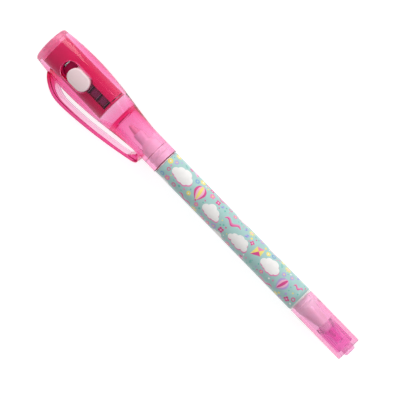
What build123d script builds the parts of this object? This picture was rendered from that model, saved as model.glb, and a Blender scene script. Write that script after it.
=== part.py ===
from build123d import *

import math
import os

# Double-ended invisible-ink pen with an ultraviolet torch in its cap.
#
# One end of the barrel is a fibre-tip marker for invisible ink, under a large oval
# torch cap with a pocket clip and a slide switch. The other end is a small ballpoint
# under a plain tail cap. The pen lies on the flat belly of its torch cap.
#
# Frame: +X runs along the pen's axis from the torch end to the ballpoint end, the switch
# faces +Z and the clip faces -Y. The origin is on the axis at the middle of the printed
# barrel. Lengths along the pen below are stated from the torch end (x = 0) and shifted
# when the pieces are written.

os.makedirs("parts", exist_ok=True)

# ---------------------------------------------------------------- driving sizes (mm)
X_MID = 87.65           # middle of the printed barrel, from the torch end

# torch cap, outer shell: x, half width (clip direction), half height (switch direction)
SHELL_SECTIONS = [
    (2.40, 6.95, 5.50),
    (5.00, 7.26, 5.72),
    (9.00, 7.63, 5.97),
    (14.0, 7.84, 6.14),
    (19.0, 7.80, 6.15),
    (24.0, 7.50, 6.05),
    (29.0, 7.00, 5.85),
    (33.0, 6.48, 5.62),
    (37.0, 5.91, 5.36),
    (41.0, 5.39, 5.13),
    (44.5, 5.03, 4.97),
    (47.0, 4.925, 4.92),
]
MOUTH_X = 55.7          # open end of the torch cap
BELLY_X, BELLY_Z = 16.5, -5.65          # flat under the cap, in one plane with the tail cap's lowest line
CHAMBER_A, CHAMBER_B = 5.95, 4.76       # lamp chamber, half width and half height
CHAMBER_END = 30.3
CHAMBER_TOP = 34.6                      # front of the wall between lamp and nib
NIB_BORE_X = 35.7
NIB_BORE_R = 3.45
STOP_X = 46.3                           # step the spigot stops against
SEAL_BORE_R = 3.72
ENTRY_X = 51.0
ENTRY_R = 3.84

# switch
SLOT_X0, SLOT_X1, SLOT_HW = 8.9, 21.1, 3.14
BUTTON_X0, BUTTON_X1, BUTTON_HW = 12.15, 20.80, 2.92
BUTTON_TRAVEL = 3.0
BUTTON_PROUD = 0.70

# lamp
LED_R, LED_FLANGE_R = 2.50, 2.90
LED_TIP, LED_BASE = 0.90, 9.40
CARRIER_A, CARRIER_B = 5.82, 4.64
CARRIER_X0, CARRIER_X1 = 3.55, 29.95
CELL_R, CELL_H = 3.95, 3.60             # LR41 button cell
CELL_X0 = 18.4
CELL_CAN_H, CELL_TOP_R = 2.80, 2.80

# clip
CLIP_W = 6.4
CLIP_OUTER = [(6.9, 7.10), (8.0, 8.40), (9.5, 9.58), (11.0, 10.48), (13.0, 11.33), (15.5, 11.80), (19.0, 11.82),
              (25.0, 11.34), (31.0, 10.62), (37.0, 9.68), (43.0, 8.54), (47.2, 7.66)]
CLIP_INNER = [(44.4, 7.08), (43.0, 7.40), (37.0, 8.40), (31.0, 9.28), (25.0, 9.90), (19.0, 10.22), (16.2, 10.12),
              (13.8, 9.45), (12.0, 8.45), (10.7, 7.20)]

# barrel
BARREL_X0, BARREL_X1 = 55.85, 119.9
BARREL_R, BARREL_BORE = 4.56, 3.70
SLEEVE_R = 4.68
SLEEVE_X0, SLEEVE_X1 = 55.95, 119.35

# marker end
NIB_TIP, NIB_FRONT, NIB_R = 38.6, 42.3, 1.25
NECK_R, SHOULDER_X0, SHOULDER_X1 = 1.95, 46.6, 48.3
SPIGOT_R = 3.40

# ballpoint end
BP_CONE_X0, BP_CONE_X1 = 123.2, 133.9
BP_SPIGOT_R, BP_NOSE_R = 3.45, 1.25
BALL_R, BALL_X = 0.35, 136.45

# tail cap: an open sleeve with a vented plug in its end
TAIL_X0, TAIL_X1, TAIL_R = 120.1, 142.8, 4.65
TAIL_ENTRY_R, TAIL_STEP_X, TAIL_BORE_R = 3.68, 123.7, 3.45
PLUG_X0, PLUG_X1 = 130.9, 141.2
POST_X1, POST_R, POST_SLOT = 143.8, 2.08, 0.70
FLUTES, FLUTE_W, FLUTE_DEPTH = 8, 0.80, 0.30


# ---------------------------------------------------------------- helpers
def profile(points):
    """Closed face in the XY plane from (x, r[, corner radius]) points."""
    pts = [(p[0], p[1], p[2] if len(p) > 2 else 0.0) for p in points]
    n = len(pts)
    edges, starts, ends = [], [], []
    for i in range(n):
        a, b, c = (Vector(*pts[i - 1][:2]), Vector(*pts[i][:2]), Vector(*pts[(i + 1) % n][:2]))
        rad = pts[i][2]
        if rad <= 0:
            starts.append(b)
            ends.append(b)
            edges.append(None)
            continue
        u, v = (a - b).normalized(), (c - b).normalized()
        half = math.radians(u.get_angle(v)) / 2
        t = rad / math.tan(half)
        p, q = b + u * t, b + v * t
        mid_dir = (u + v).normalized()
        centre = b + mid_dir * (rad / math.sin(half))
        m = centre - mid_dir * rad
        starts.append(p)
        ends.append(q)
        edges.append(ThreePointArc(p, m, q))
    out = []
    for i in range(n):
        if edges[i] is not None:
            out.append(edges[i])
        p, q = ends[i], starts[(i + 1) % n]
        if (q - p).length > 1e-9:
            out.append(Line(p, q))
    return make_face(Wire(out))


def turned(points):
    """Solid of revolution about the pen's axis."""
    return revolve(profile(points), Axis.X, 360)


def oval(x, a, b):
    return Plane.YZ.offset(x) * Ellipse(a, b)


def oval_rod(x0, x1, a, b):
    return extrude(oval(x0, a, b), amount=x1 - x0)


def rod(x0, x1, r):
    return extrude(Plane.YZ.offset(x0) * Circle(r), amount=x1 - x0)


def block(x0, x1, y0, y1, z0, z1):
    return Pos((x0 + x1) / 2, (y0 + y1) / 2, (z0 + z1) / 2) * Box(x1 - x0, y1 - y0, z1 - z0)


def stadium(x0, x1, hw, z0, z1):
    sketch = Plane.XY.offset(z0) * Pos((x0 + x1) / 2, 0) * SlotOverall(x1 - x0, 2 * hw)
    return extrude(sketch, amount=z1 - z0)


def try_fillet(shape, edges, radius):
    """Rounds the edges where the kernel can, and leaves them sharp where it cannot."""
    try:
        made = fillet(edges, radius)
        if made.is_valid and made.volume > 0:
            return made
    except Exception as e:
        print("fillet left out:", radius, type(e).__name__)
    return shape


# ---------------------------------------------------------------- torch cap: shell
def shell_outer(grow=0.0):
    head = loft([oval(x, a + grow, b + grow) for x, a, b in SHELL_SECTIONS])
    x, a, b = SHELL_SECTIONS[-1]
    mouth = oval_rod(x, MOUTH_X, a + grow, b + grow)
    return head + mouth


outer = shell_outer()
chamber = loft([oval(2.0, CHAMBER_A, CHAMBER_B), oval(CHAMBER_END, CHAMBER_A, CHAMBER_B),
                oval(CHAMBER_TOP, 4.3, 3.8)], ruled=True)
nib_bore = turned([
    (NIB_BORE_X, 0), (NIB_BORE_X, NIB_BORE_R, 0.9), (STOP_X, NIB_BORE_R), (STOP_X, SEAL_BORE_R),
    (ENTRY_X, SEAL_BORE_R), (ENTRY_X + 0.15, ENTRY_R), (MOUTH_X - 0.35, ENTRY_R), (MOUTH_X + 0.01, ENTRY_R + 0.36),
    (MOUTH_X + 1, ENTRY_R + 0.36), (MOUTH_X + 1, 0)])
slot = stadium(SLOT_X0, SLOT_X1, SLOT_HW, 3.5, 9.0)
# the pen lies still on this flat and on the far end of the tail cap
belly_lean = math.degrees(math.atan2(-TAIL_R - BELLY_Z, TAIL_X1 - BELLY_X))
under_belly = Pos(BELLY_X, 0, BELLY_Z) * Rot(0, -belly_lean, 0) * Pos(0, 0, -5.0) * Box(80.0, 40.0, 10.0)
cap_shell = outer - chamber - nib_bore - slot - under_belly
slot_rim = [e for e in cap_shell.edges() if SLOT_X0 - 0.1 < e.center().X < SLOT_X1 + 0.1 and e.bounding_box().min.Z > 5.2
            and abs(e.center().Y) < SLOT_HW + 0.1]
cap_shell = try_fillet(cap_shell, slot_rim, 0.30)

# ---------------------------------------------------------------- torch cap: lid
lid = loft([oval(0.0, 6.62, 5.18), oval(1.3, 6.85, 5.40), oval(2.38, 6.94, 5.49)])
lid = lid & (Pos(40.0, 0, 0) * Sphere(40.0))
rim = [e for e in lid.edges() if e.center().X < 1.0]
lid = try_fillet(lid, rim, 1.15)
lid = lid + oval_rod(2.38, CARRIER_X0 - 0.10, CHAMBER_A - 0.07, CHAMBER_B - 0.07)
led_hole = turned([(-1, 0), (-1, LED_R + 0.45), (0.3, LED_R + 0.45), (0.75, LED_R + 0.10), (6, LED_R + 0.10), (6, 0)])
lamp_lid = lid - led_hole

# ---------------------------------------------------------------- torch cap: lamp
uv_led = (rod(LED_TIP + LED_R, LED_BASE, LED_R)
          + (Pos(LED_TIP + LED_R, 0, 0) * Sphere(LED_R))
          + rod(LED_BASE - 1.0, LED_BASE, LED_FLANGE_R))
wire = 0.25


def lead_frame(g=0.0):
    """The two legs inside the lamp, a post and an anvil with a reflector cup; g is the room left round them."""
    w = wire + g
    post = block(5.60 - g, LED_BASE + g, -1.27 - w, -1.27 + w, -w, w)
    cup = turned([(5.60 + g, 0), (5.60 + g, 0.95 + g), (4.70 - g, 0.95 + g), (4.70 - g, 0.78 - g), (5.15 - g, 0.42 - g), (5.15 - g, 0)])
    anvil = block(5.40 - g, 6.60 + g, -0.50 - g, 1.27 + w, -w, w) + block(5.40 - g, LED_BASE + g, 1.27 - w, 1.27 + w, -w, w)
    return post, cup + anvil


post, anvil = lead_frame()
for room in lead_frame(0.015):
    uv_led = uv_led - room
led_lead_plus = (post + block(LED_BASE - 0.2, 18.10, -1.27 - wire, -1.27 + wire, -wire, wire)
                 + block(17.90, 18.35, -1.27 - wire, 1.1, -wire, wire))
led_lead_minus = (anvil + block(LED_BASE - 0.2, 10.85, 1.27 - wire, 1.27 + wire, -wire, wire)
                  + block(10.35, 10.85, 1.27 - wire, 2.50 + wire, -wire, wire)
                  + block(10.35, 10.85, 2.50 - wire, 2.50 + wire, -wire, 2.08)
                  + block(10.35, 11.95, 2.50 - wire, 2.50 + wire, 1.58, 2.08))

switch_room = block(9.6, 18.25, -3.45, 3.45, -3.2, 3.10)
carrier = oval_rod(CARRIER_X0, CARRIER_X1, CARRIER_A, CARRIER_B)
carrier = carrier - rod(CARRIER_X0 - 1, 9.7, LED_FLANGE_R + 0.06) - switch_room
carrier = carrier - rod(18.2, 29.55, CELL_R + 0.06)
carrier = carrier - block(17.1, 29.55, 2.0, 4.50, -1.0, 1.0)            # channel of the side contact
carrier = carrier - block(29.15, 29.55, 2.3, 6.0, -1.0, 6.0)            # slit of the end contact
carrier = carrier - stadium(9.1, 21.4, 3.00, 2.0, 6.0)                  # window under the switch
carrier = carrier - block(20.0, 29.35, -1.30, 2.00, 2.0, 6.0)           # narrower window over the cells
# deck over the lamp's legs, open round the side contact and the lamp's pad
carrier = carrier + block(9.75, 17.05, -3.60, 1.90, 0.60, 1.30) + block(11.20, 13.70, 1.80, 3.60, 0.60, 1.30)
SPLIT = 0.02
carrier_upper = carrier & block(0, 40, -10, 10, SPLIT, 10)
carrier_lower = carrier & block(0, 40, -10, 10, -10, -SPLIT)


def cell(x0):
    can = turned([(x0, 0), (x0, CELL_R, 0.30), (x0 + CELL_CAN_H, CELL_R, 0.45), (x0 + CELL_CAN_H, CELL_TOP_R + 0.55),
                  (x0 + CELL_CAN_H - 0.25, CELL_TOP_R + 0.55), (x0 + CELL_CAN_H - 0.25, CELL_TOP_R),
                  (x0 + CELL_H, CELL_TOP_R, 0.20), (x0 + CELL_H, 0)])
    ring = turned([(x0 + CELL_CAN_H - 0.25, CELL_TOP_R), (x0 + CELL_CAN_H + 0.12, CELL_TOP_R),
                   (x0 + CELL_CAN_H + 0.12, CELL_TOP_R + 0.55), (x0 + CELL_CAN_H - 0.25, CELL_TOP_R + 0.55)])
    return can, ring


cells, rings = zip(*[cell(CELL_X0 + i * CELL_H) for i in range(3)])

negative_contact = (block(29.23, 29.48, -2.4, 2.4, -2.4, 2.4)
                    + block(29.23, 29.48, 2.0, 4.60, -0.85, 2.55)
                    + block(17.25, 29.48, 4.15, 4.40, -0.85, 0.85)
                    + block(17.25, 17.50, 2.20, 4.40, -0.85, 0.85)
                    + block(14.00, 17.50, 2.20, 2.45, -0.85, 0.85)
                    + block(14.00, 16.00, 2.20, 2.45, 0.0, 1.98))

# ---------------------------------------------------------------- switch
head = stadium(BUTTON_X0, BUTTON_X1, BUTTON_HW, 4.86, 9.0)
# the head's crown follows the shell's own bulge, so it stands evenly proud
head = head & loft([oval(x, a + BUTTON_PROUD, b + BUTTON_PROUD) for x, a, b in SHELL_SECTIONS[1:8]])
crown_top = [e for e in head.edges() if e.center().Z > 6.0]
head = try_fillet(head, crown_top, 0.35)
neck = stadium(12.45, 18.2, 2.80, 2.9, 5.0)
foot = block(13.0, 18.2, -3.36, 3.36, 2.45, 3.00)
slide_button = head + neck + foot
slider_contact = block(13.4, 17.8, -1.4, 2.9, 2.19, 2.44) + block(13.4, 14.3, 2.1, 2.9, 2.12, 2.25)

# ---------------------------------------------------------------- pocket clip
co = [(x, -r) for x, r in CLIP_OUTER]
ci = [(x, -r) for x, r in CLIP_INNER]
outer_line = Spline(*co)
inner_line = Spline(*ci)
bump_end, bump_start = (47.8, -5.08), (47.0, -5.05)
tip_line = Spline(co[-1], (48.45, -7.30), (49.10, -6.78), (49.18, -6.14), (48.62, -5.48), bump_end,
                  tangents=(outer_line % 1, Vector(-1, 0.10, 0)))
under_line = Spline(bump_start, (46.35, -5.50), (45.45, -6.55), ci[0], tangents=(Vector(-1, -0.10, 0), inner_line % 0))
tip = tip_line, Line(bump_end, bump_start), under_line
root = Line(ci[-1], (10.2, -5.2)), Line((10.2, -5.2), (6.2, -5.2)), Line((6.2, -5.2), co[0])
clip_face = make_face(Wire([outer_line, *tip, inner_line, *root]))
pocket_clip = extrude(Plane.XY.offset(-CLIP_W / 2) * clip_face, amount=CLIP_W)
outer_long = [e for e in pocket_clip.edges() if e.length > 38 and abs(abs(e.center().Z) - CLIP_W / 2) < 0.05]
pocket_clip = try_fillet(pocket_clip, outer_long, 0.45)
inner_long = [e for e in pocket_clip.edges() if 28 < e.length < 38 and abs(abs(e.center().Z) - CLIP_W / 2) < 0.05]
pocket_clip = try_fillet(pocket_clip, inner_long, 0.25)
pocket_clip = pocket_clip - shell_outer(0.04)
pocket_clip = max(pocket_clip.solids(), key=lambda s: s.volume)

# ---------------------------------------------------------------- barrel and print
barrel = turned([(BARREL_X0, BARREL_BORE), (BARREL_X0, BARREL_R, 0.12), (BARREL_X1, BARREL_R, 0.12), (BARREL_X1, BARREL_BORE)])
printed_sleeve = turned([(SLEEVE_X0, BARREL_R), (SLEEVE_X0, SLEEVE_R), (SLEEVE_X1, SLEEVE_R), (SLEEVE_X1, BARREL_R)])

# ---------------------------------------------------------------- marker end
marker_section = turned([
    (NIB_FRONT, NIB_R + 0.02), (NIB_FRONT, NECK_R, 0.25), (SHOULDER_X0, NECK_R, 0.6), (SHOULDER_X1, SPIGOT_R, 0.35),
    (51.9, SPIGOT_R), (52.1, SEAL_BORE_R - 0.05 + 0.10, 0.05), (52.9, SEAL_BORE_R + 0.05, 0.05), (53.1, SPIGOT_R),
    (BARREL_X0 - 0.25, SPIGOT_R), (BARREL_X0 - 0.25, BARREL_BORE - 0.02), (63.0, BARREL_BORE - 0.02), (63.0, 3.35), (57.2, 3.35),
    (57.2, NIB_R + 0.02)])
fibre_nib = turned([
    (NIB_TIP, 0), (NIB_TIP, 0.46, 0.30), (NIB_TIP + 1.1, 0.92, 1.2), (NIB_TIP + 3.0, NIB_R, 2.0), (62.0, NIB_R), (62.0, 0)])
ink_reservoir = turned([(57.5, NIB_R + 0.05), (57.5, 3.05), (86.0, 3.05), (86.0, 0), (62.2, 0), (62.2, NIB_R + 0.05)])
reservoir_wrap = turned([(57.5, 3.07), (57.5, 3.25), (86.0, 3.25), (86.0, 3.07)])
divider_plug = turned([(88.0, 0), (88.0, BARREL_BORE - 0.02, 0.3), (92.0, BARREL_BORE - 0.02, 0.3), (92.0, 2.2), (89.2, 2.2), (89.2, 0)])

# ---------------------------------------------------------------- ballpoint end
ballpoint_section = turned([
    (112.0, 1.57), (112.0, BARREL_BORE - 0.02, 0.3), (BARREL_X1 + 0.10, BARREL_BORE - 0.02), (BARREL_X1 + 0.10, BP_SPIGOT_R),
    (121.4, BP_SPIGOT_R), (121.55, BP_SPIGOT_R + 0.17, 0.05), (122.15, BP_SPIGOT_R + 0.17, 0.05), (122.3, BP_SPIGOT_R),
    (BP_CONE_X0, BP_SPIGOT_R, 0.8), (BP_CONE_X1, BP_NOSE_R, 0.25), (BP_CONE_X1, 0.72), (127.6, 0.72), (127.6, 1.57)])
refill_tube = turned([(93.0, 1.15), (93.0, 1.55), (127.4, 1.55), (127.4, 1.15)])
ink_column = turned([(97.6, 0), (97.6, 1.13), (124.4, 1.13), (124.4, 0)])
ink_follower = turned([(95.4, 0), (95.4, 1.13), (97.5, 1.13), (97.5, 0)])
ballpoint_tip = turned([
    (124.5, 0.35), (124.5, 1.13), (127.45, 1.13), (127.45, 0.70), (134.6, 0.70), (BALL_X - 0.05, 0.44), (BALL_X + 0.12, 0.385),
    (BALL_X + 0.12, 0.363), (BALL_X, 0.375), (BALL_X - 0.36, 0.375), (BALL_X - 0.36, 0.35)])
writing_ball = Pos(BALL_X, 0, 0) * Sphere(BALL_R)

# ---------------------------------------------------------------- tail cap
tail_sleeve = turned([
    (TAIL_X0, TAIL_ENTRY_R), (TAIL_X0, TAIL_R, 0.2), (TAIL_X1, TAIL_R, 0.12), (TAIL_X1, TAIL_BORE_R),
    (TAIL_STEP_X + 1.60, TAIL_BORE_R, 1.0), (TAIL_STEP_X, TAIL_ENTRY_R, 1.0)])
plug_r = TAIL_BORE_R - 0.01
tail_plug = turned([
    (PLUG_X0, 3.05), (PLUG_X0, plug_r), (PLUG_X1, plug_r, 0.6), (PLUG_X1, POST_R, 0.3),
    (POST_X1, POST_R, 0.6), (POST_X1, 0), (139.3, 0), (138.6, 1.15), (134.0, 1.55)])
for k in range(FLUTES):
    tail_plug = tail_plug - Rot(360.0 / FLUTES * (k + 0.5), 0, 0) * block(
        PLUG_X0 - 1, PLUG_X1 + 1, plug_r - FLUTE_DEPTH, plug_r + 1, -FLUTE_W / 2, FLUTE_W / 2)
for k in range(2):
    tail_plug = tail_plug - Rot(90.0 * k, 0, 0) * block(141.3, 145.0, -3.0, 3.0, -POST_SLOT / 2, POST_SLOT / 2)

# ---------------------------------------------------------------- place and write
nodes = {
    "cap_shell": cap_shell, "lamp_lid": lamp_lid, "uv_led": uv_led,
    "led_lead_plus": led_lead_plus, "led_lead_minus": led_lead_minus,
    "carrier_upper": carrier_upper, "carrier_lower": carrier_lower,
    "button_cell_front": cells[0], "button_cell_middle": cells[1], "button_cell_rear": cells[2],
    "cell_gaskets": Compound(children=[s for r in rings for s in r.solids()]),
    "negative_contact": negative_contact, "slide_button": slide_button, "slider_contact": slider_contact,
    "pocket_clip": pocket_clip, "barrel": barrel, "printed_sleeve": printed_sleeve,
    "marker_section": marker_section, "fibre_nib": fibre_nib,
    "ink_reservoir": ink_reservoir, "reservoir_wrap": reservoir_wrap, "divider_plug": divider_plug,
    "ballpoint_section": ballpoint_section, "refill_tube": refill_tube, "ink_column": ink_column,
    "ink_follower": ink_follower, "ballpoint_tip": ballpoint_tip, "writing_ball": writing_ball, "tail_sleeve": tail_sleeve,
    "tail_plug": tail_plug,
}
for name, shape in nodes.items():
    export_step(Pos(-X_MID, 0, 0) * shape, os.path.join("parts", name + ".step"))
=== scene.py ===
import math
import random

import bpy
import bmesh
from mathutils import Matrix, Vector
from mathutils.geometry import delaunay_2d_cdt


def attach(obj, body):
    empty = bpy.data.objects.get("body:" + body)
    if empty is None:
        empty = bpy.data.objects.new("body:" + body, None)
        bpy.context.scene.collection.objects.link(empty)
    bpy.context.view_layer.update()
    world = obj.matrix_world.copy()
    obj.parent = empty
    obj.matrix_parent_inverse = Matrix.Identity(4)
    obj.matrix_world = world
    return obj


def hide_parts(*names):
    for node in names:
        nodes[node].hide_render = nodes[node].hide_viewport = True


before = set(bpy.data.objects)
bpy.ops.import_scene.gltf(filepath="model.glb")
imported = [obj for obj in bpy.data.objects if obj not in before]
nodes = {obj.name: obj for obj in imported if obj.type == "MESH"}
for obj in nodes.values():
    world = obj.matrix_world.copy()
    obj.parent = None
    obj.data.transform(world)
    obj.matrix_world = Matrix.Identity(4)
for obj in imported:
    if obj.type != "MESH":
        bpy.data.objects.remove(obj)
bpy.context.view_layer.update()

scene = bpy.context.scene
MM = 0.001
X_MID = 87.65           # torch end to the row's origin, mm


def at(x, y=0.0, z=0.0):
    """Row-frame point from a length along the pen (mm from the torch end) and y, z in mm."""
    return Vector(((x - X_MID) * MM, y * MM, z * MM))


def lin(r, g, b):
    """Linear colour from 0-255 display values."""
    out = []
    for c in (r, g, b):
        c /= 255.0
        out.append(c / 12.92 if c <= 0.04045 else ((c + 0.055) / 1.055) ** 2.4)
    return out[0], out[1], out[2], 1.0


# ------------------------------------------------------------------ materials
def fresh(name):
    m = bpy.data.materials.new(name)
    m.use_nodes = True
    nt = m.node_tree
    return m, nt, nt.nodes["Principled BSDF"], nt.nodes["Material Output"]


def noise(nt, scale, detail=3.0, rough=0.5, stretch=(1, 1, 1)):
    tc = nt.nodes.new("ShaderNodeTexCoord")
    mp = nt.nodes.new("ShaderNodeMapping")
    mp.inputs["Scale"].default_value = stretch
    nz = nt.nodes.new("ShaderNodeTexNoise")
    nz.inputs["Scale"].default_value = scale
    nz.inputs["Detail"].default_value = detail
    nz.inputs["Roughness"].default_value = rough
    nt.links.new(tc.outputs["Object"], mp.inputs["Vector"])
    nt.links.new(mp.outputs["Vector"], nz.inputs["Vector"])
    return nz.outputs["Fac"]


def ramp(nt, fac, stops):
    r = nt.nodes.new("ShaderNodeValToRGB")
    r.color_ramp.elements[0].position, r.color_ramp.elements[0].color = stops[0]
    r.color_ramp.elements[1].position, r.color_ramp.elements[1].color = stops[-1]
    for pos, col in stops[1:-1]:
        e = r.color_ramp.elements.new(pos)
        e.color = col
    nt.links.new(fac, r.inputs["Fac"])
    return r.outputs["Color"]


def spread(nt, fac, lo, hi):
    r = nt.nodes.new("ShaderNodeMapRange")
    r.inputs["To Min"].default_value = lo
    r.inputs["To Max"].default_value = hi
    nt.links.new(fac, r.inputs["Value"])
    return r.outputs["Result"]


def bump(nt, bsdf, height, strength, distance):
    b = nt.nodes.new("ShaderNodeBump")
    b.inputs["Strength"].default_value = strength
    b.inputs["Distance"].default_value = distance
    nt.links.new(height, b.inputs["Height"])
    nt.links.new(b.outputs["Normal"], bsdf.inputs["Normal"])


def scaled(c, k):
    return min(1.0, c[0] * k), min(1.0, c[1] * k), min(1.0, c[2] * k), 1.0


def let_lamps_through(nt, p, out):
    lp = nt.nodes.new("ShaderNodeLightPath")
    tr = nt.nodes.new("ShaderNodeBsdfTransparent")
    mx = nt.nodes.new("ShaderNodeMixShader")
    nt.links.new(lp.outputs["Is Shadow Ray"], mx.inputs[0])
    nt.links.new(p.outputs["BSDF"], mx.inputs[1])
    nt.links.new(tr.outputs["BSDF"], mx.inputs[2])
    nt.links.new(mx.outputs["Shader"], out.inputs["Surface"])


def clear_plastic(name, per_mm, rough=(0.03, 0.07), ior=1.49, tint=(1, 1, 1, 1)):
    """Clear tinted moulding: the tint is taken up along the path through the plastic."""
    m, nt, p, out = fresh(name)
    p.inputs["Base Color"].default_value = tint
    p.inputs["Transmission Weight"].default_value = 1.0
    p.inputs["IOR"].default_value = ior
    flow = noise(nt, 240.0, 2.0, 0.5, (0.25, 1, 1))
    nt.links.new(spread(nt, flow, rough[0], rough[1]), p.inputs["Roughness"])
    bump(nt, p, noise(nt, 900.0, 2.0), 0.04, 0.00002)
    let_lamps_through(nt, p, out)
    va = nt.nodes.new("ShaderNodeVolumeAbsorption")
    density = max(per_mm) * 1000.0 * 1.02
    va.inputs["Density"].default_value = density
    va.inputs["Color"].default_value = tuple(1.0 - s * 1000.0 / density for s in per_mm) + (1.0,)
    nt.links.new(va.outputs["Volume"], out.inputs["Volume"])
    return m


def moulded(name, colour, rough=(0.26, 0.36), grain=1400.0, depth=0.00001, vary=0.03, sss=0.0, coat=0.0):
    """Opaque moulded plastic with a faint grain and slight colour drift."""
    m, nt, p, out = fresh(name)
    drift = noise(nt, 160.0, 3.0)
    nt.links.new(ramp(nt, drift, [(0.25, scaled(colour, 1 - vary)), (0.75, scaled(colour, 1 + vary))]), p.inputs["Base Color"])
    fine = noise(nt, grain, 4.0, 0.6)
    nt.links.new(spread(nt, fine, rough[0], rough[1]), p.inputs["Roughness"])
    bump(nt, p, fine, 0.12, depth)
    if sss:
        p.inputs["Subsurface Weight"].default_value = sss
        p.inputs["Subsurface Radius"].default_value = (0.0020, 0.0016, 0.0014)
        p.inputs["Subsurface Scale"].default_value = 1.0
    if coat:
        p.inputs["Coat Weight"].default_value = coat
        p.inputs["Coat Roughness"].default_value = 0.12
    return m


def metal(name, colour, rough=(0.16, 0.30), stretch=(1, 1, 1), scale=900.0, depth=0.000006):
    """Drawn or plated metal with fine lines along one direction."""
    m, nt, p, out = fresh(name)
    p.inputs["Metallic"].default_value = 1.0
    lines = noise(nt, scale, 4.0, 0.6, stretch)
    nt.links.new(ramp(nt, lines, [(0.2, scaled(colour, 0.86)), (0.8, scaled(colour, 1.08))]), p.inputs["Base Color"])
    nt.links.new(spread(nt, lines, rough[0], rough[1]), p.inputs["Roughness"])
    bump(nt, p, lines, 0.15, depth)
    return m


def milky_plastic(name, colour, clear, rough=(0.26, 0.36), ior=1.49, vary=0.04, spec=0.5, lamps=False):
    """Tinted moulding that lets some light through but blurs what is behind it."""
    m, nt, p, out = fresh(name)
    drift = noise(nt, 180.0, 3.0, 0.5, (0.4, 1, 1))
    nt.links.new(ramp(nt, drift, [(0.25, scaled(colour, 1 - vary)), (0.75, scaled(colour, 1 + vary))]), p.inputs["Base Color"])
    p.inputs["Transmission Weight"].default_value = clear
    p.inputs["Specular IOR Level"].default_value = spec
    p.inputs["IOR"].default_value = ior
    fine = noise(nt, 1100.0, 3.0, 0.6)
    nt.links.new(spread(nt, fine, rough[0], rough[1]), p.inputs["Roughness"])
    bump(nt, p, fine, 0.08, 0.00001)
    if lamps:
        let_lamps_through(nt, p, out)
    return m


PINK = (0.024, 0.350, 0.170)          # absorption per mm, red, green, blue
M = {}
M["pink_clear"] = clear_plastic("pink_clear", PINK, tint=(0.985, 1.0, 1.0, 1.0))
M["pink_deep"] = milky_plastic("pink_deep", (0.69, 0.007, 0.126, 1.0), 0.15, (0.36, 0.48), spec=0.12)
M["pink_clip"] = clear_plastic("pink_clip", PINK, tint=(0.985, 1.0, 1.0, 1.0))
M["pink_tail"] = clear_plastic("pink_tail", (0.020, 0.330, 0.168), tint=(0.940, 0.985, 0.988, 1.0))
M["pink_frosted"] = milky_plastic("pink_frosted", (0.92, 0.28, 0.47, 1.0), 0.55, (0.18, 0.28), lamps=True)
M["led_epoxy"] = clear_plastic("led_epoxy", (0.004, 0.004, 0.001), (0.02, 0.04), 1.53)
M["white_gloss"] = moulded("white_gloss", lin(238, 236, 233), sss=0.35, coat=0.5)
M["button_white"] = moulded("button_white", lin(249, 222, 225), (0.34, 0.46), 2200.0, sss=0.15)


def paint_root_shade(m, x0, x1, root_shade):
    """Painted shade: a deeper pink drawn into the base colour at the thick root of a moulding, fading out along the pen
    from x0 to x1.
    """
    nt = m.node_tree
    tc = nt.nodes.new("ShaderNodeTexCoord")
    sep = nt.nodes.new("ShaderNodeSeparateXYZ")
    nt.links.new(tc.outputs["Object"], sep.inputs[0])
    along = nt.nodes.new("ShaderNodeMapRange")
    along.inputs["From Min"].default_value = at(x0).x
    along.inputs["From Max"].default_value = at(x1).x
    nt.links.new(sep.outputs["X"], along.inputs["Value"])
    nt.links.new(ramp(nt, along.outputs["Result"], [(0.0, root_shade), (1.0, (0.985, 1, 1, 1))]), nt.nodes["Principled BSDF"].inputs["Base Color"])


# painted shade at the clip's root: deeper pink from 8.4 mm, fading out by 12.6 mm
paint_root_shade(M["pink_clip"], 8.4, 12.6, (0.90, 0.16, 0.34, 1.0))


def cell_metal(name):
    """Plated button-cell can: turned lines round the can; the plate drawn dark pink-purple as a painted reflection of
    the pink plastic round it and painted shade of its cavity; and a painted shadow, near black, in the sunk rim.
    """
    m, nt, p, out = fresh(name)
    p.inputs["Metallic"].default_value = 1.0
    lines = noise(nt, 900.0, 4.0, 0.6, (8, 1, 1))
    # painted reflection and shade: the plate's dark pink-purple stands in for the pink plastic mirrored in the metal
    # and the dark cavity
    painted_pink_plate = ramp(nt, lines, [(0.2, (0.17, 0.030, 0.080, 1)), (0.8, (0.27, 0.055, 0.128, 1))])
    tc = nt.nodes.new("ShaderNodeTexCoord")
    flat = nt.nodes.new("ShaderNodeVectorMath")
    flat.operation = "MULTIPLY"
    flat.inputs[1].default_value = (0, 1, 1)
    size = nt.nodes.new("ShaderNodeVectorMath")
    size.operation = "LENGTH"
    nt.links.new(tc.outputs["Object"], flat.inputs[0])
    nt.links.new(flat.outputs["Vector"], size.inputs[0])
    # painted shadow: near black inside 3.0 mm of the axis, where the cell's top sinks below the can, fading to the
    # plate colour by 3.6 mm
    rim = nt.nodes.new("ShaderNodeMapRange")
    rim.inputs["From Min"].default_value = 0.0030
    rim.inputs["From Max"].default_value = 0.0036
    nt.links.new(size.outputs["Value"], rim.inputs["Value"])
    rim_shadow_mix = nt.nodes.new("ShaderNodeMix")
    rim_shadow_mix.data_type = "RGBA"
    nt.links.new(rim.outputs["Result"], rim_shadow_mix.inputs["Factor"])
    rim_shadow_mix.inputs["A"].default_value = (0.02, 0.017, 0.022, 1)
    nt.links.new(painted_pink_plate, rim_shadow_mix.inputs["B"])
    nt.links.new(rim_shadow_mix.outputs["Result"], p.inputs["Base Color"])
    nt.links.new(spread(nt, lines, 0.14, 0.26), p.inputs["Roughness"])
    bump(nt, p, lines, 0.15, 0.000006)
    return m


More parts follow.
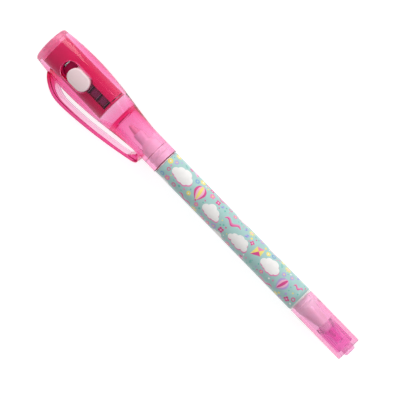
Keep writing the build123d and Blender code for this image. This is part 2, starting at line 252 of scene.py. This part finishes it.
def plug_plastic(name, pale, deep, post, thick, clear):
    """Milky tinted moulding with painted light: its base colour drawn paler where it is thin, at the lip of its mouth
    and in the slotted post, for the light that comes through less plastic there.
    """
    m, nt, p, out = fresh(name)
    tc = nt.nodes.new("ShaderNodeTexCoord")
    sep = nt.nodes.new("ShaderNodeSeparateXYZ")
    nt.links.new(tc.outputs["Object"], sep.inputs[0])
    along = nt.nodes.new("ShaderNodeMapRange")
    along.inputs["From Min"].default_value = at(130.0).x
    along.inputs["From Max"].default_value = at(145.0).x
    nt.links.new(sep.outputs["X"], along.inputs["Value"])
    # painted light: pale at the lip, deep along the body, and pale again at the slotted post
    stops = [((x - 130.0) / 15.0, c) for x, c in zip(thick, (pale, deep, deep, post))]
    nt.links.new(ramp(nt, along.outputs["Result"], stops), p.inputs["Base Color"])
    p.inputs["Transmission Weight"].default_value = clear
    p.inputs["IOR"].default_value = 1.49
    fine = noise(nt, 1100.0, 3.0, 0.6, (0.3, 1, 1))
    nt.links.new(spread(nt, fine, 0.03, 0.07), p.inputs["Roughness"])
    bump(nt, p, fine, 0.06, 0.00001)
    let_lamps_through(nt, p, out)
    return m


M["pink_plug"] = plug_plastic("pink_plug", (1.0, 0.88, 0.96, 1.0), (0.97, 0.44, 0.80, 1.0), (0.99, 0.72, 0.88, 1.0), (132.7, 134.0, 141.0, 141.7), 0.80)
M["cell_steel"] = cell_metal("cell_steel")
M["tinned_steel"] = metal("tinned_steel", (0.66, 0.65, 0.62), (0.20, 0.36), (1, 6, 6))
M["tip_metal"] = metal("tip_metal", (0.70, 0.68, 0.64), (0.10, 0.20), (10, 1, 1))
M["ball_carbide"] = metal("ball_carbide", (0.42, 0.42, 0.44), (0.06, 0.10))
M["gasket_nylon"] = moulded("gasket_nylon", lin(206, 196, 198), (0.4, 0.55))
M["ink_black"] = moulded("ink_black", lin(14, 14, 20), (0.2, 0.3))
M["follower_grease"] = moulded("follower_grease", lin(226, 218, 190), (0.15, 0.25), sss=0.2)
M["wrap_film"] = clear_plastic("wrap_film", (0.05, 0.04, 0.035), (0.18, 0.28), 1.46)
M["tube_clear"] = clear_plastic("tube_clear", (0.06, 0.045, 0.04), (0.22, 0.30), 1.49)


def fibre(name, colour, stretch):
    m, nt, p, out = fresh(name)
    strands = noise(nt, 1500.0, 6.0, 0.65, stretch)
    nt.links.new(ramp(nt, strands, [(0.25, scaled(colour, 0.84)), (0.7, scaled(colour, 1.04))]), p.inputs["Base Color"])
    p.inputs["Roughness"].default_value = 0.85
    p.inputs["Sheen Weight"].default_value = 0.15
    bump(nt, p, strands, 0.5, 0.00004)
    return m


M["nib_fibre"] = fibre("nib_fibre", lin(238, 214, 212), (0.12, 1, 1))
M["wick_fibre"] = fibre("wick_fibre", lin(240, 238, 232), (0.10, 1, 1))

LOOK = {
    "cap_shell": "pink_clear", "pocket_clip": "pink_clip", "lamp_lid": "pink_frosted",
    "carrier_upper": "pink_deep", "carrier_lower": "pink_deep",
    "tail_sleeve": "pink_tail", "tail_plug": "pink_plug", "uv_led": "led_epoxy",
    "led_lead_plus": "tinned_steel", "led_lead_minus": "tinned_steel",
    "negative_contact": "tinned_steel", "slider_contact": "tinned_steel",
    "button_cell_front": "cell_steel", "button_cell_middle": "cell_steel", "button_cell_rear": "cell_steel",
    "cell_gaskets": "gasket_nylon", "slide_button": "button_white", "barrel": "white_gloss",
    "marker_section": "white_gloss", "ballpoint_section": "white_gloss", "divider_plug": "white_gloss",
    "fibre_nib": "nib_fibre", "ink_reservoir": "wick_fibre", "reservoir_wrap": "wrap_film",
    "refill_tube": "tube_clear", "ink_column": "ink_black", "ink_follower": "follower_grease",
    "ballpoint_tip": "tip_metal", "writing_ball": "ball_carbide",
}
for n, o in nodes.items():
    if n in LOOK:
        o.data.materials.clear()
        o.data.materials.append(M[LOOK[n]])


# ------------------------------------------------------------------ printed film
def film(name, colour):
    """Ink on a thin satin film: slight mottling of the ink, and the film's own soft gloss."""
    m, nt, p, out = fresh(name)
    mottle = noise(nt, 700.0, 4.0, 0.6)
    nt.links.new(ramp(nt, mottle, [(0.25, scaled(colour, 0.95)), (0.75, scaled(colour, 1.03))]), p.inputs["Base Color"])
    nt.links.new(spread(nt, noise(nt, 260.0, 3.0), 0.30, 0.42), p.inputs["Roughness"])
    bump(nt, p, mottle, 0.05, 0.000008)
    p.inputs["Coat Weight"].default_value = 0.25
    p.inputs["Coat Roughness"].default_value = 0.18
    return m


INKS = {
    "mint": lin(170, 209, 205), "white": lin(247, 245, 243), "rose": lin(226, 74, 148), "pink": lin(240, 134, 186),
    "blush": lin(247, 186, 214), "yellow": lin(246, 228, 122), "lilac": lin(190, 164, 222), "blue": lin(126, 164, 216),
    "teal": lin(112, 196, 182),
}
ink_names = list(INKS)
SLEEVE_X0, SLEEVE_X1, SLEEVE_R, SLEEVE_IN = 55.95, 119.35, 4.68, 4.56
GIRTH = 2 * math.pi * SLEEVE_R
FACE = math.radians(17.5)             # the print's centre line, from +Z towards +Y
art = []                              # (ink, outline); later ones lie on top


def circle(cx, cy, r, n=20, squash=1.0, turn=0.0):
    c, s = math.cos(turn), math.sin(turn)
    pts = []
    for k in range(n):
        a = 2 * math.pi * k / n
        x, y = r * math.cos(a), r * squash * math.sin(a)
        pts.append((cx + x * c - y * s, cy + x * s + y * c))
    return pts


def add(ink, pts):
    art.append((ink, pts))


def cloud(cx, cy, w, ink="white", shade="pink", form=0):
    puffs = [
        [(-0.36, -0.05, 0.17), (-0.17, 0.10, 0.21), (0.08, 0.16, 0.25), (0.31, 0.03, 0.19), (0.0, -0.08, 0.22), (-0.2, -0.1, 0.16), (0.2, -0.1, 0.17)],
        [(-0.34, -0.02, 0.19), (-0.10, 0.14, 0.24), (0.17, 0.08, 0.21), (0.37, -0.06, 0.14), (0.06, -0.09, 0.20), (-0.16, -0.1, 0.17), (0.26, -0.1, 0.13)],
        [(-0.38, -0.08, 0.13), (-0.22, 0.02, 0.18), (0.02, 0.10, 0.22), (0.26, 0.12, 0.19), (0.40, -0.04, 0.15), (0.12, -0.09, 0.20), (-0.12, -0.1, 0.16)],
    ][form]
    for layer, (dx, dy) in ((shade, (0.04 * w, -0.05 * w)), (ink, (0, 0))):
        for x, y, r in puffs:
            add(layer, circle(cx + x * w + dx, cy + y * w + dy, r * w))


def ribbon(cx, cy, length, amp, width, turn=0.0, ink="rose", edge="pink", waves=1.5):
    n = 40
    c, s = math.cos(turn), math.sin(turn)
    for layer, f0, f1 in ((edge, -0.5, 0.5), (ink, -0.5, -0.05)):
        up, low = [], []
        for k in range(n + 1):
            t = k / n
            x = (t - 0.5) * length
            y = amp * math.sin(2 * math.pi * waves * t)
            w = width * math.sin(math.pi * (0.06 + 0.88 * t)) ** 0.6
            up.append((x, y + f1 * w))
            low.append((x, y + f0 * w))
        pts = low + up[::-1]
        add(layer, [(cx + x * c - y * s, cy + x * s + y * c) for x, y in pts])


def flower(cx, cy, r, ink, heart, petals=5, turn=0.0):
    for k in range(petals):
        a = turn + 2 * math.pi * k / petals
        add(ink, circle(cx + 0.62 * r * math.cos(a), cy + 0.62 * r * math.sin(a), 0.44 * r, 14))
    add(heart, circle(cx, cy, 0.32 * r, 12))


def kite(cx, cy, size, turn, inks):
    c, s = math.cos(turn), math.sin(turn)

    def place(pts):
        return [(cx + x * c - y * s, cy + x * s + y * c) for x, y in pts]
    top, right, low, left, mid = (0, size * 0.55), (size * 0.36, size * 0.1), (0, -size * 0.55), (-size * 0.36, size * 0.1), (0, size * 0.1)
    add(inks[0], place([top, left, mid]))
    add(inks[1], place([top, mid, right]))
    add(inks[1], place([left, low, mid]))
    add(inks[2], place([mid, low, right]))


def balloon(cx, cy, r, turn, inks):
    c, s = math.cos(turn), math.sin(turn)

    def place(pts):
        return [(cx + x * c - y * s, cy + x * s + y * c) for x, y in pts]
    for f, ink in ((1.0, inks[0]), (0.62, inks[1]), (0.26, inks[2])):
        pts = []
        for k in range(28):
            a = 2 * math.pi * k / 28
            x, y = r * math.cos(a), r * 1.12 * math.sin(a)
            if y < 0:
                x *= 1 + 0.32 * y / r
                y *= 1.1
            pts.append((x * f, y))
        add(ink, place(pts))
    add(inks[0], place([(-0.22 * r, -1.45 * r), (0.22 * r, -1.45 * r), (0.06 * r, -1.16 * r), (-0.06 * r, -1.16 * r)]))


def sprig(cx, cy, size, turn, ink):
    c, s = math.cos(turn), math.sin(turn)

    def place(x, y):
        return cx + x * c - y * s, cy + x * s + y * c
    add(ink, [place(-0.03 * size, -0.5 * size), place(0.03 * size, -0.5 * size), place(0.02 * size, 0.45 * size), place(-0.02 * size, 0.45 * size)])
    for k, (y, side) in enumerate([(-0.25, 1), (-0.12, -1), (0.05, 1), (0.18, -1)]):
        x, y = place(0.15 * size * side, (y + 0.08) * size)
        add(ink, circle(x, y, 0.17 * size, 14, 0.45, turn + side * math.radians(48)))
    x, y = place(0, 0.5 * size)
    add(ink, circle(x, y, 0.15 * size, 14, 0.5, turn + math.pi / 2))


def ring(cx, cy, r, ink):
    add(ink, circle(cx, cy, r, 18))
    add("mint", circle(cx, cy, 0.55 * r, 14))


def drops(cx, cy, r, inks):
    for k, (dx, dy) in enumerate(((-0.7, 0.3), (0.1, -0.5), (0.75, 0.35))):
        add(inks[k % len(inks)], circle(cx + dx * r, cy + dy * r, 0.30 * r, 12))


def sun(cx, cy, r):
    for k in range(8):
        a = 2 * math.pi * k / 8
        c, s = math.cos(a), math.sin(a)
        add("yellow", [(cx + r * c, cy + r * s), (cx + 0.62 * r * c - 0.2 * r * s, cy + 0.62 * r * s + 0.2 * r * c),
                       (cx + 0.62 * r * c + 0.2 * r * s, cy + 0.62 * r * s - 0.2 * r * c)])
    add("yellow", circle(cx, cy, 0.56 * r, 16))
    add("blush", circle(cx, cy, 0.30 * r, 12))


# the large motifs, u from the torch-cap end and v round the barrel from the print's centre line, mm
cloud(7.4, 0.7, 7.8, form=0)
balloon(15.3, 1.0, 2.2, 0.22, ("rose", "blush", "yellow"))
cloud(22.6, -0.9, 7.0, form=1)
ribbon(30.2, 1.7, 6.6, 0.6, 1.15, 0.12)
cloud(35.6, -1.3, 7.6, form=2)
kite(42.6, 1.0, 4.8, -0.55, ("pink", "yellow", "rose"))
cloud(49.0, 0.6, 7.2, form=0)
balloon(56.0, -0.6, 2.0, -0.25, ("lilac", "blush", "rose"))
ribbon(60.6, 2.4, 3.6, 0.45, 0.9, 0.3)
ribbon(13.0, -5.0, 5.6, 0.55, 1.0, -0.15, "pink", "rose")
ribbon(51.4, -5.2, 6.0, 0.55, 1.0, 0.2)
ribbon(22.4, 5.8, 5.4, 0.5, 1.0, 0.05)
cloud(31.6, 6.8, 5.2, form=1)
cloud(3.6, -6.6, 4.8, form=2)
cloud(28.8, -6.2, 5.2, form=0)
cloud(46.6, 7.0, 4.6, form=1)
kite(10.2, 6.2, 3.4, 0.5, ("lilac", "blush", "pink"))
kite(39.8, -5.6, 3.2, -0.3, ("rose", "blush", "pink"))
sun(17.6, -5.4, 1.5)
sun(54.0, 5.0, 1.5)
sun(37.0, 4.6, 1.3)
back = [(6, 13.4), (20, 12.0), (34, 13.6), (48, 12.4), (60, 13.2), (13, -11.5), (27, -12.4), (41, -11.4), (55, -12.2)]
for k, (u, v) in enumerate(back):
    if k % 3 == 0:
        cloud(u, v, 6.2, form=k % 2)
    elif k % 3 == 1:
        balloon(u, v, 1.9, 0.3 - 0.25 * (k % 2), ("rose", "blush", "yellow"))
    else:
        ribbon(u, v, 6.0, 0.5, 1.0, 0.2)
taken = []
for ink, pts in art:
    xs, ys = [q[0] for q in pts], [q[1] for q in pts]
    wide, tall = (max(xs) - min(xs)) / 2, (max(ys) - min(ys)) / 2
    mid_u, mid_v = (min(xs) + max(xs)) / 2, (min(ys) + max(ys)) / 2
    if wide > 2 * tall:
        taken += [(mid_u + k * wide / 3, mid_v, 1.25 * tall) for k in (-2, 0, 2)]
    else:
        taken.append((mid_u, mid_v, max(wide, tall)))
rng = random.Random(11)
small = 0
for tries in range(9000):
    if small >= 300:
        break
    u, v = rng.uniform(0.9, 62.5), rng.uniform(-GIRTH / 2, GIRTH / 2)
    r = rng.choice([0.95, 1.05, 0.8, 1.0]) if tries < 3000 else rng.choice([0.34, 0.42, 0.5, 0.62])
    if any(math.hypot(u - a, min(abs(v - b), GIRTH - abs(v - b))) < r + c + 0.16 for a, b, c in taken):
        continue
    taken.append((u, v, r))
    kind = rng.randrange(8)
    if r < 0.7:
        add(rng.choice(["pink", "teal", "white", "rose", "lilac", "teal", "yellow"]), circle(u, v, r * 0.7, 14))
    elif kind == 0:
        flower(u, v, r, "lilac", "yellow", 5, rng.uniform(0, 1))
    elif kind == 1:
        sprig(u, v, r * 1.9, rng.uniform(-1.2, 1.2), "teal")
    elif kind == 2:
        ring(u, v, r * 0.8, rng.choice(["rose", "blue"]))
    elif kind == 3:
        flower(u, v, r, "yellow", "white", 6, rng.uniform(0, 1))
    elif kind == 4:
        flower(u, v, r, "rose", "blush", 4, rng.uniform(0, 1))
    elif kind == 5:
        drops(u, v, r, ("teal", "rose", "teal"))
    elif kind == 6:
        flower(u, v, r, "pink", "yellow", 5, rng.uniform(0, 1))
    else:
        kite(u, v, r * 1.9, rng.uniform(-1, 1), ("blue", "lilac", "blue"))
    small += 1


def print_sleeve():
    """The film as one thin tube with the print cut into its outer face."""
    length = SLEEVE_X1 - SLEEVE_X0
    segs, rows = 128, 32
    verts, edges, faces, ink_of = [], [], [], []
    half = GIRTH / 2
    for i in range(rows + 1):
        for j in range(segs + 1):
            verts.append((length * i / rows, -half + GIRTH * j / segs))
    w = segs + 1
    for i in range(rows):
        for j in range(segs):
            faces.append([i * w + j, (i + 1) * w + j, (i + 1) * w + j + 1, i * w + j + 1])
            ink_of.append(-1)
    for k, (ink, pts) in enumerate(art):
        vs = [p[1] for p in pts]
        shifts = [0.0]
        if max(vs) > half:
            shifts.append(-GIRTH)
        if min(vs) < -half:
            shifts.append(GIRTH)
        for s in shifts:
            base = len(verts)
            verts.extend((min(max(u, 0.02), length - 0.02), v + s) for u, v in pts)
            faces.append(list(range(base, base + len(pts))))
            ink_of.append(k)
    flat = [Vector(p) for p in verts]
    co, _, tris, _, _, origin = delaunay_2d_cdt(flat, [], faces, 1, 1e-5)
    bm = bmesh.new()
    kept = {}

    def vert(i):
        u, v = co[i]
        v = max(-half, min(half, v))
        key = (round(u, 5), round(v if v < half - 1e-4 else -half, 5))
        if key not in kept:
            a = FACE + v / SLEEVE_R
            kept[key] = bm.verts.new(at(SLEEVE_X0 + u, SLEEVE_R * math.sin(a), SLEEVE_R * math.cos(a)))
        return kept[key]
    for tri, owners in zip(tris, origin):
        us = [co[i] for i in tri]
        mid_v = sum(p[1] for p in us) / 3
        if abs(mid_v) > half:
            continue
        vs = [vert(i) for i in tri]
        if len(set(vs)) < 3 or bm.faces.get(vs):
            continue
        f = bm.faces.new(vs)
        tops = [ink_of[o] for o in owners]
        top = max(tops) if tops else -1
        f.material_index = ink_names.index(art[top][0]) if top >= 0 else 0
        f.smooth = True
    # the film's two ends and its back, which lies on the barrel
    rim0, rim1 = [], []
    for j in range(segs):
        a = FACE - math.pi + 2 * math.pi * j / segs
        for rim, x in ((rim0, SLEEVE_X0), (rim1, SLEEVE_X1)):
            rim.append(bm.verts.new(at(x, SLEEVE_IN * math.sin(a), SLEEVE_IN * math.cos(a))))
    for j in range(segs):
        k = (j + 1) % segs
        f = bm.faces.new((rim0[j], rim0[k], rim1[k], rim1[j]))
        f.smooth = True
        f.material_index = 1
    for rim, u in ((rim0, 0.0), (rim1, length)):
        edge = sorted((v for key, v in kept.items() if abs(key[0] - u) < 1e-4), key=lambda v: math.atan2(v.co.y, v.co.z))
        inner = sorted(rim, key=lambda v: math.atan2(v.co.y, v.co.z))
        if len(edge) == len(inner):
            for j in range(len(edge)):
                k = (j + 1) % len(edge)
                f = bm.faces.new((edge[j], edge[k], inner[k], inner[j]))
                f.material_index = 1
    bmesh.ops.remove_doubles(bm, verts=bm.verts, dist=5e-7)
    bmesh.ops.recalc_face_normals(bm, faces=bm.faces)
    me = bpy.data.meshes.new("print_film")
    bm.to_mesh(me)
    bm.free()
    for n in ink_names:
        me.materials.append(film("film_" + n, INKS[n]))
    o = bpy.data.objects.new("print_film", me)
    scene.collection.objects.link(o)
    return o


sleeve = print_sleeve()
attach(sleeve, "pen")
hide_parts("printed_sleeve")

# ------------------------------------------------------------------ floor, light, camera
bm = bmesh.new()
half = 1.6
tilt = math.radians(0.4537)           # the pen lies on the flat of its cap and on the tail cap's far end
foot = at(16.5).x
n = 24
grid = [[bm.verts.new((-half + 2 * half * i / n, -half + 2 * half * j / n, -0.00565 - 0.00003 + math.tan(tilt) * (-half + 2 * half * i / n - foot)))
         for j in range(n + 1)] for i in range(n + 1)]
for i in range(n):
    for j in range(n):
        bm.faces.new((grid[i][j], grid[i + 1][j], grid[i + 1][j + 1], grid[i][j + 1]))
me = bpy.data.meshes.new("floor")
bm.to_mesh(me)
bm.free()
floor = bpy.data.objects.new("floor", me)
scene.collection.objects.link(floor)
m, nt, p, out = fresh("floor_card")
grain = noise(nt, 60.0, 3.0)
nt.links.new(ramp(nt, grain, [(0.2, (0.50, 0.50, 0.50, 1)), (0.8, (0.53, 0.53, 0.53, 1))]), p.inputs["Base Color"])
p.inputs["Roughness"].default_value = 0.9
p.inputs["Emission Color"].default_value = (1.0, 1.0, 1.0, 1.0)
glow = nt.nodes.new("ShaderNodeMapRange")
glow.inputs["To Min"].default_value = 0.75
glow.inputs["To Max"].default_value = 0.45
nt.links.new(nt.nodes.new("ShaderNodeLightPath").outputs["Is Diffuse Ray"], glow.inputs["Value"])
nt.links.new(glow.outputs["Result"], p.inputs["Emission Strength"])
me.materials.append(m)

world = bpy.data.worlds.new("studio")
scene.world = world
world.use_nodes = True
wt = world.node_tree
back = wt.nodes["Background"]
tc = wt.nodes.new("ShaderNodeTexCoord")
sep = wt.nodes.new("ShaderNodeSeparateXYZ")
wt.links.new(tc.outputs["Generated"], sep.inputs[0])


def sky(axis, start, end, lo, hi):
    mr = wt.nodes.new("ShaderNodeMapRange")
    mr.interpolation_type = "SMOOTHSTEP"
    mr.inputs["From Min"].default_value = start
    mr.inputs["From Max"].default_value = end
    mr.inputs["To Min"].default_value = lo
    mr.inputs["To Max"].default_value = hi
    wt.links.new(sep.outputs[axis], mr.inputs["Value"])
    return mr.outputs["Result"]


# white walls round the set, open above: bright through clear plastic, dim in a gloss from above, and
# as fill on matt surfaces stronger from the +Y side
lp = wt.nodes.new("ShaderNodeLightPath")
gloss = wt.nodes.new("ShaderNodeMix")
wt.links.new(lp.outputs["Is Transmission Ray"], gloss.inputs["Factor"])
wt.links.new(sky("Z", 0.20, 0.70, 0.90, 0.12), gloss.inputs["A"])
wt.links.new(sky("Z", 0.20, 0.70, 1.00, 0.72), gloss.inputs["B"])
pick = wt.nodes.new("ShaderNodeMix")
wt.links.new(lp.outputs["Is Diffuse Ray"], pick.inputs["Factor"])
wt.links.new(gloss.outputs["Result"], pick.inputs["A"])
wt.links.new(sky("Y", -0.9, 0.9, 0.26, 0.52), pick.inputs["B"])
wt.links.new(pick.outputs["Result"], back.inputs["Strength"])
back.inputs["Color"].default_value = (1.0, 1.0, 1.0, 1.0)
world.cycles.sampling_method = "NONE"


def area(name, pos, target, size, power, colour=(1, 1, 1)):
    light = bpy.data.lights.new(name, "AREA")
    light.shape = "RECTANGLE"
    light.size, light.size_y = size
    light.energy = power
    light.color = colour
    o = bpy.data.objects.new(name, light)
    o.location = pos
    o.rotation_euler = (Vector(target) - Vector(pos)).to_track_quat("-Z", "Y").to_euler()
    scene.collection.objects.link(o)
    return o


area("softbox_key", (-0.58, 0.62, 0.36), (0, 0, 0), (0.9, 0.5), 3.8)
area("softbox_tail", (0.36, 0.58, 0.45), (0.04, 0, 0), (0.3, 0.2), 1.0)
fill = area("softbox_top", (-0.1, -0.05, 0.80), (0, 0, 0), (0.9, 0.5), 1.0)
fill.visible_glossy = False
fill.visible_transmission = False

# the photograph's camera: looking down on the pen, the pen's axis falling to the lower right
ROLL, LEAN, TURN = math.radians(17.5), math.radians(2.0), math.radians(45.75)
DIST, SPAN = 0.950, 400 * 0.3325 * MM
ex = Vector((1, 0, 0))
ey = Vector((0, math.cos(ROLL), -math.sin(ROLL)))
ez = Vector((0, math.sin(ROLL), math.cos(ROLL)))
es = math.cos(LEAN) * ex - math.sin(LEAN) * ez
toward = math.sin(LEAN) * ex + math.cos(LEAN) * ez
right = math.cos(TURN) * es + math.sin(TURN) * ey
up = -math.sin(TURN) * es + math.cos(TURN) * ey
target = at(72.85) + ey * (-0.70 * MM)
cam = bpy.data.cameras.new("camera")
cam.sensor_fit = "HORIZONTAL"
cam.sensor_width = 36.0
cam.lens = 36.0 * DIST / SPAN
cam.clip_start, cam.clip_end = 0.05, 20.0
co = bpy.data.objects.new("camera", cam)
co.matrix_world = Matrix.Translation(target + toward * DIST) @ Matrix((right, up, toward)).transposed().to_4x4()
scene.collection.objects.link(co)
scene.camera = co

scene.view_settings.view_transform = "Standard"
scene.view_settings.look = "None"
scene.cycles.max_bounces = 48
scene.cycles.transmission_bounces = 48
scene.cycles.transparent_max_bounces = 32
scene.cycles.diffuse_bounces = 6
scene.cycles.glossy_bounces = 32
scene.cycles.sample_clamp_indirect = 4.0
